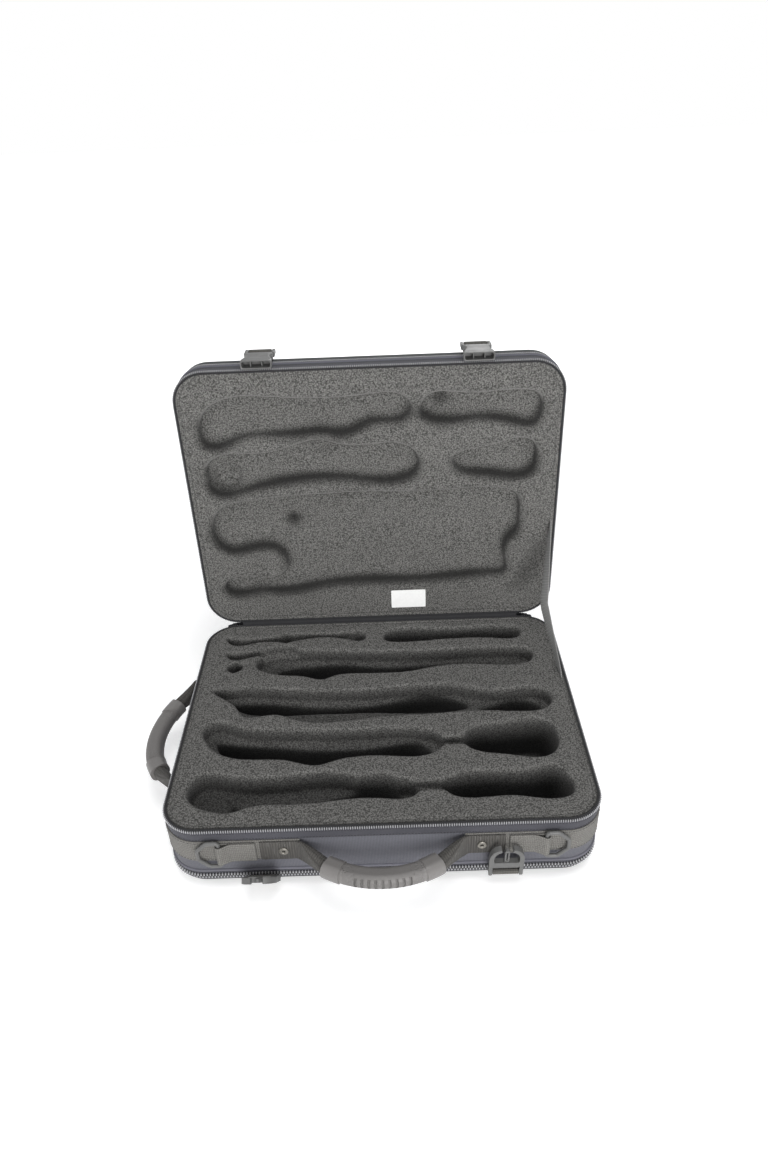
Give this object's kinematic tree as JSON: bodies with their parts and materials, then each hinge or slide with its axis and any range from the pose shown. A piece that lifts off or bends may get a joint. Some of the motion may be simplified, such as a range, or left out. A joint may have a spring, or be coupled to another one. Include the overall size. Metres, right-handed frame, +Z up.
{
  "type": "instrument case",
  "caption": "Soft-covered rectangular instrument case with a zipped lid, carry handles, side-release buckles and a moulded plush interior for woodwind joints.",
  "frame": {"origin": "middle of the face that the case lies on", "axes": "+X to the right along the front, +Y from front to back, +Z up; the lid is open, hinged at the back"},
  "size_m": [0.4783, 0.4324, 0.4161],
  "materials": {
    "fabric": "woven, matt",
    "plush": "soft pile, matt",
    "foam": "matt",
    "shell": "matt",
    "zipper": "coil zipper on woven tape",
    "binding": "ribbed braid",
    "webbing": "ribbed webbing",
    "strap": "ribbed ribbon",
    "grip": "satin",
    "plastic": "semi gloss",
    "metal": "satin black",
    "rivet": "satin grey",
    "label": "matt, blank"
  },
  "bodies": {
    "base": {"bottom_panel": "fabric", "lower_zipper": "zipper", "base_cover": "fabric", "base_piping": "binding", "base_shell": "shell", "base_rim_binding": "binding", "main_zipper_base": "zipper", "belt_webbing": "webbing", "base_core": "foam", "base_insert": "plush", "front_handle_webbing": "webbing", "side_handle_webbing": "webbing", "handle_rivets": "rivet", "d_ring_loops": "webbing", "lower_strap_left": "webbing", "lower_strap_right": "webbing", "hinge_tape": "webbing", "stay_strap": "strap", "main_left_slider": "metal", "main_right_slider": "metal"},
    "lid": {"lid_pocket_panel": "fabric", "lid_pocket_zipper": "zipper", "lid_cover": "fabric", "lid_piping": "binding", "lid_shell": "shell", "lid_rim_binding": "binding", "main_zipper_lid": "zipper", "lid_core": "foam", "lid_insert": "plush", "label_plate": "label", "upper_strap_left": "webbing", "upper_strap_right": "webbing"},
    "front_handle": {"front_handle_grip": "grip"},
    "side_handle": {"side_handle_grip": "grip"},
    "d_ring_left": {"d_ring_left": "plastic"},
    "d_ring_right": {"d_ring_right": "plastic"},
    "male_buckle_left": {"male_buckle_left": "plastic"},
    "male_buckle_right": {"male_buckle_right": "plastic"},
    "female_buckle_left": {"female_buckle_left": "plastic"},
    "female_buckle_right": {"female_buckle_right": "plastic"},
    "main_left_pull": {"main_left_pull": "metal"},
    "main_right_pull": {"main_right_pull": "metal"},
    "lower_slider": {"lower_slider": "metal"},
    "lower_pull": {"lower_pull": "metal"},
    "lid_pocket_slider": {"lid_pocket_slider": "metal"},
    "lid_pocket_pull": {"lid_pocket_pull": "metal"}
  },
  "joints": [
    {"name": "lid_hinge", "type": "hinge", "parent": "base", "child": "lid", "pos_m": [0, 0.1624, 0.0823], "axis": [1, 0, 0], "range_deg": [0, 91.4], "deforming": ["hinge_tape", "stay_strap"]},
    {"name": "front_handle_swing", "type": "hinge", "parent": "base", "child": "front_handle", "pos_m": [0, -0.1632, 0.055], "axis": [-1, 0, 0], "range_deg": [-66, 54], "deforming": ["front_handle_webbing"]},
    {"name": "side_handle_swing", "type": "hinge", "parent": "base", "child": "side_handle", "pos_m": [-0.2132, -0.002, 0.055], "axis": [0, 1, 0], "range_deg": [-48, 72], "deforming": ["side_handle_webbing"]},
    {"name": "d_ring_left_swing", "type": "hinge", "parent": "base", "child": "d_ring_left", "pos_m": [-0.1545, -0.1654, 0.0535], "axis": [0, 0, 1], "range_deg": [0, 150]},
    {"name": "d_ring_right_swing", "type": "hinge", "parent": "base", "child": "d_ring_right", "pos_m": [0.1545, -0.1654, 0.0535], "axis": [0, 0, -1], "range_deg": [0, 150]},
    {"name": "male_buckle_left_tilt", "type": "hinge", "parent": "base", "child": "male_buckle_left", "pos_m": [-0.117, -0.16665, 0.018], "axis": [1, 0, 0], "range_deg": [-38, 60]},
    {"name": "male_buckle_right_tilt", "type": "hinge", "parent": "base", "child": "male_buckle_right", "pos_m": [0.117, -0.16665, 0.018], "axis": [1, 0, 0], "range_deg": [-6, 92]},
    {"name": "female_buckle_left_lift", "type": "hinge", "parent": "lid", "child": "female_buckle_left", "pos_m": [-0.117, 0.21373, 0.41034], "axis": [-1, 0, 0], "range_deg": [0, 100]},
    {"name": "female_buckle_right_lift", "type": "hinge", "parent": "lid", "child": "female_buckle_right", "pos_m": [0.117, 0.21373, 0.41034], "axis": [-1, 0, 0], "range_deg": [0, 100]},
    {"name": "main_left_pull_turn", "type": "hinge", "parent": "base", "child": "main_left_pull", "pos_m": [-0.18485, 0.16449, 0.0777], "axis": [0, 0, 1], "range_deg": [0, 165]},
    {"name": "main_right_pull_turn", "type": "hinge", "parent": "base", "child": "main_right_pull", "pos_m": [0.18485, 0.16449, 0.0777], "axis": [0, 0, -1], "range_deg": [0, 165]},
    {"name": "lower_slider_slide", "type": "slide", "parent": "base", "child": "lower_slider", "axis": [0, -1, 0], "range_m": [0, 0.19]},
    {"name": "lower_pull_turn", "type": "hinge", "parent": "lower_slider", "child": "lower_pull", "pos_m": [0.2161, 0.1, 0.017], "axis": [0, 0, -1], "range_deg": [0, 165]},
    {"name": "lid_pocket_slider_slide", "type": "slide", "parent": "lid", "child": "lid_pocket_slider", "axis": [0, 0.0244, 0.9997], "range_m": [0, 0.19]},
    {"name": "lid_pocket_pull_turn", "type": "hinge", "parent": "lid_pocket_slider", "child": "lid_pocket_pull", "pos_m": [-0.2155, 0.18966, 0.15205], "axis": [0, 0.9997, -0.0244], "range_deg": [0, 165]}
  ]
}
